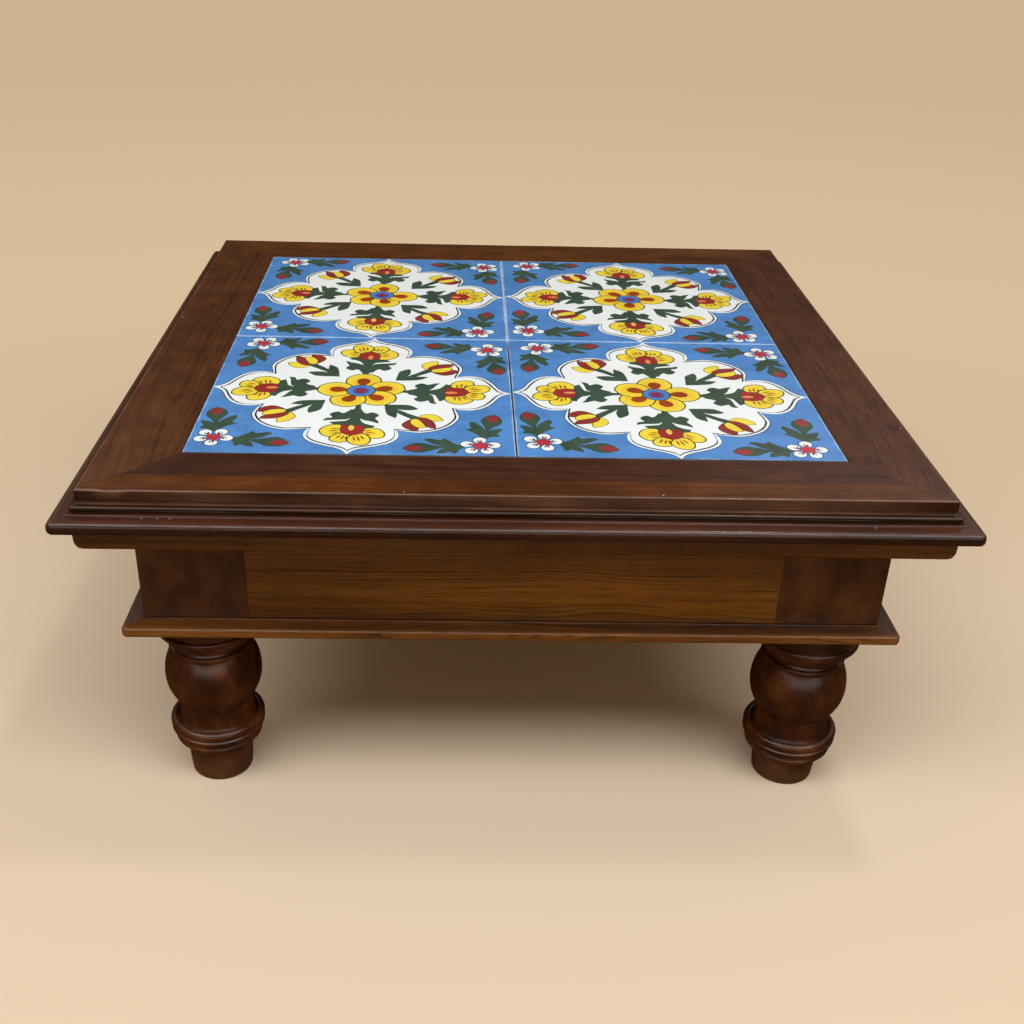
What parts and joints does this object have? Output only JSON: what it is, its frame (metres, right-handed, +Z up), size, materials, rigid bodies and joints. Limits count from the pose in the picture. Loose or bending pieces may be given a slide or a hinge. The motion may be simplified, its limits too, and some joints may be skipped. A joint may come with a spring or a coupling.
{
  "type": "low table",
  "caption": "Low square table: a tiled top in a mitred dark hardwood frame over stepped mouldings, a shallow apron box with corner posts, and stout turned legs.",
  "frame": {"origin": "on the floor, under the middle of the table", "axes": "+Z up, -Y towards the front that the picture shows, +X to the right"},
  "size_m": [0.534, 0.534, 0.2404],
  "materials": {
    "tile_glaze": "gloss glaze with a painted flower pattern",
    "grout": "matt cement filling",
    "adhesive": "matt cement bed",
    "plywood": "plain plywood",
    "rail_wood": "dark reddish brown, glossy lacquer",
    "apron_wood": "golden brown, glossy lacquer",
    "post_wood": "mottled brown, glossy lacquer",
    "leg_wood": "dark reddish brown, glossy lacquer",
    "inner_wood": "unfinished hardwood",
    "screw_steel": "plain zinc plated steel"
  },
  "bodies": {
    "root": {"tile_front_left": "tile_glaze", "tile_front_right": "tile_glaze", "tile_back_right": "tile_glaze", "tile_back_left": "tile_glaze", "tile_grout": "grout", "tile_adhesive": "adhesive", "tile_board": "plywood", "top_rail_front": "rail_wood", "top_rail_right": "rail_wood", "top_rail_back": "rail_wood", "top_rail_left": "rail_wood", "top_frame_splines": "inner_wood", "top_frame_screws": "screw_steel", "cornice_front": "rail_wood", "cornice_right": "rail_wood", "cornice_back": "rail_wood", "cornice_left": "rail_wood", "cornice_splines": "inner_wood", "ovolo_moulding_front": "rail_wood", "ovolo_moulding_right": "rail_wood", "ovolo_moulding_back": "rail_wood", "ovolo_moulding_left": "rail_wood", "ovolo_pins": "screw_steel", "apron_front": "apron_wood", "apron_right": "apron_wood", "apron_back": "apron_wood", "apron_left": "apron_wood", "corner_post_front_left": "post_wood", "corner_post_front_right": "post_wood", "corner_post_back_right": "post_wood", "corner_post_back_left": "post_wood", "cleat_front": "inner_wood", "cleat_right": "inner_wood", "cleat_back": "inner_wood", "cleat_left": "inner_wood", "cleat_screws": "screw_steel", "board_screws": "screw_steel", "base_moulding_front": "apron_wood", "base_moulding_right": "apron_wood", "base_moulding_back": "apron_wood", "base_moulding_left": "apron_wood", "base_screws": "screw_steel", "leg_front_left": "leg_wood", "leg_front_right": "leg_wood", "leg_back_right": "leg_wood", "leg_back_left": "leg_wood"}
  },
  "joints": []
}
